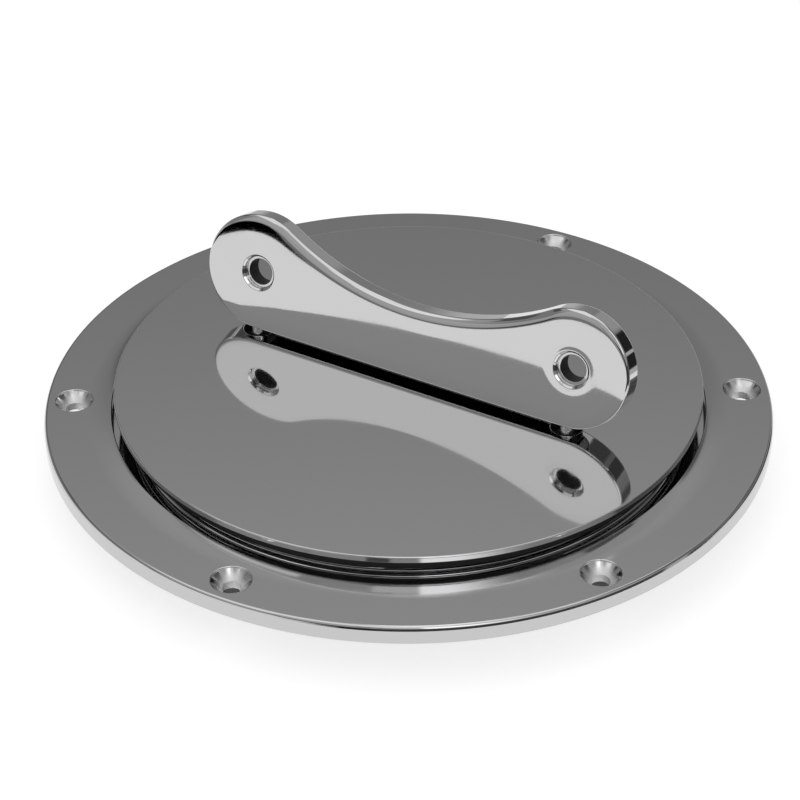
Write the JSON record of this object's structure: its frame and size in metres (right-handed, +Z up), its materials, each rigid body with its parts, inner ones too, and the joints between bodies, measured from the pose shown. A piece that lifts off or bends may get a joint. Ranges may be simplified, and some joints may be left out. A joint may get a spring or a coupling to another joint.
{
  "type": "deck inspection plate",
  "caption": "Round deck inspection plate with countersunk mounting ring, screw-in lid with rubber seal, and its two-pin key standing in the lid",
  "frame": {"origin": "centre of the screw-hole circle, on the flange's underside, which is the deck's surface", "axes": "+Z points up out of the deck along the lid's axis, +X through a pair of screw holes"},
  "size_m": [0.205, 0.205, 0.0596],
  "materials": {
    "ring_steel": "polished stainless steel",
    "lid_steel": "polished stainless steel",
    "seal_rubber": "smooth black rubber",
    "key_steel": "polished stainless steel",
    "pin_steel": "turned stainless steel"
  },
  "bodies": {
    "ring": {"mounting_ring": "ring_steel"},
    "seal": {"lid_seal": "seal_rubber"},
    "lid": {"lid": "lid_steel", "key_handle": "key_steel", "key_pin_left": "pin_steel", "key_pin_right": "pin_steel"}
  },
  "joints": [
    {"name": "lid_lift", "type": "slide", "parent": "ring", "child": "seal", "axis": [0, 0, 1], "range_m": [-0.00596, 0.00272]},
    {"name": "lid_turn", "type": "hinge", "parent": "seal", "child": "lid", "pos_m": [0, 0, 0.0116], "axis": [0, 0, 1], "range_deg": [-856.8, 390]}
  ],
  "couplings": [
    {"joint": "lid_lift", "follows": "lid_turn", "m_per_rad": 0.00039789}
  ]
}
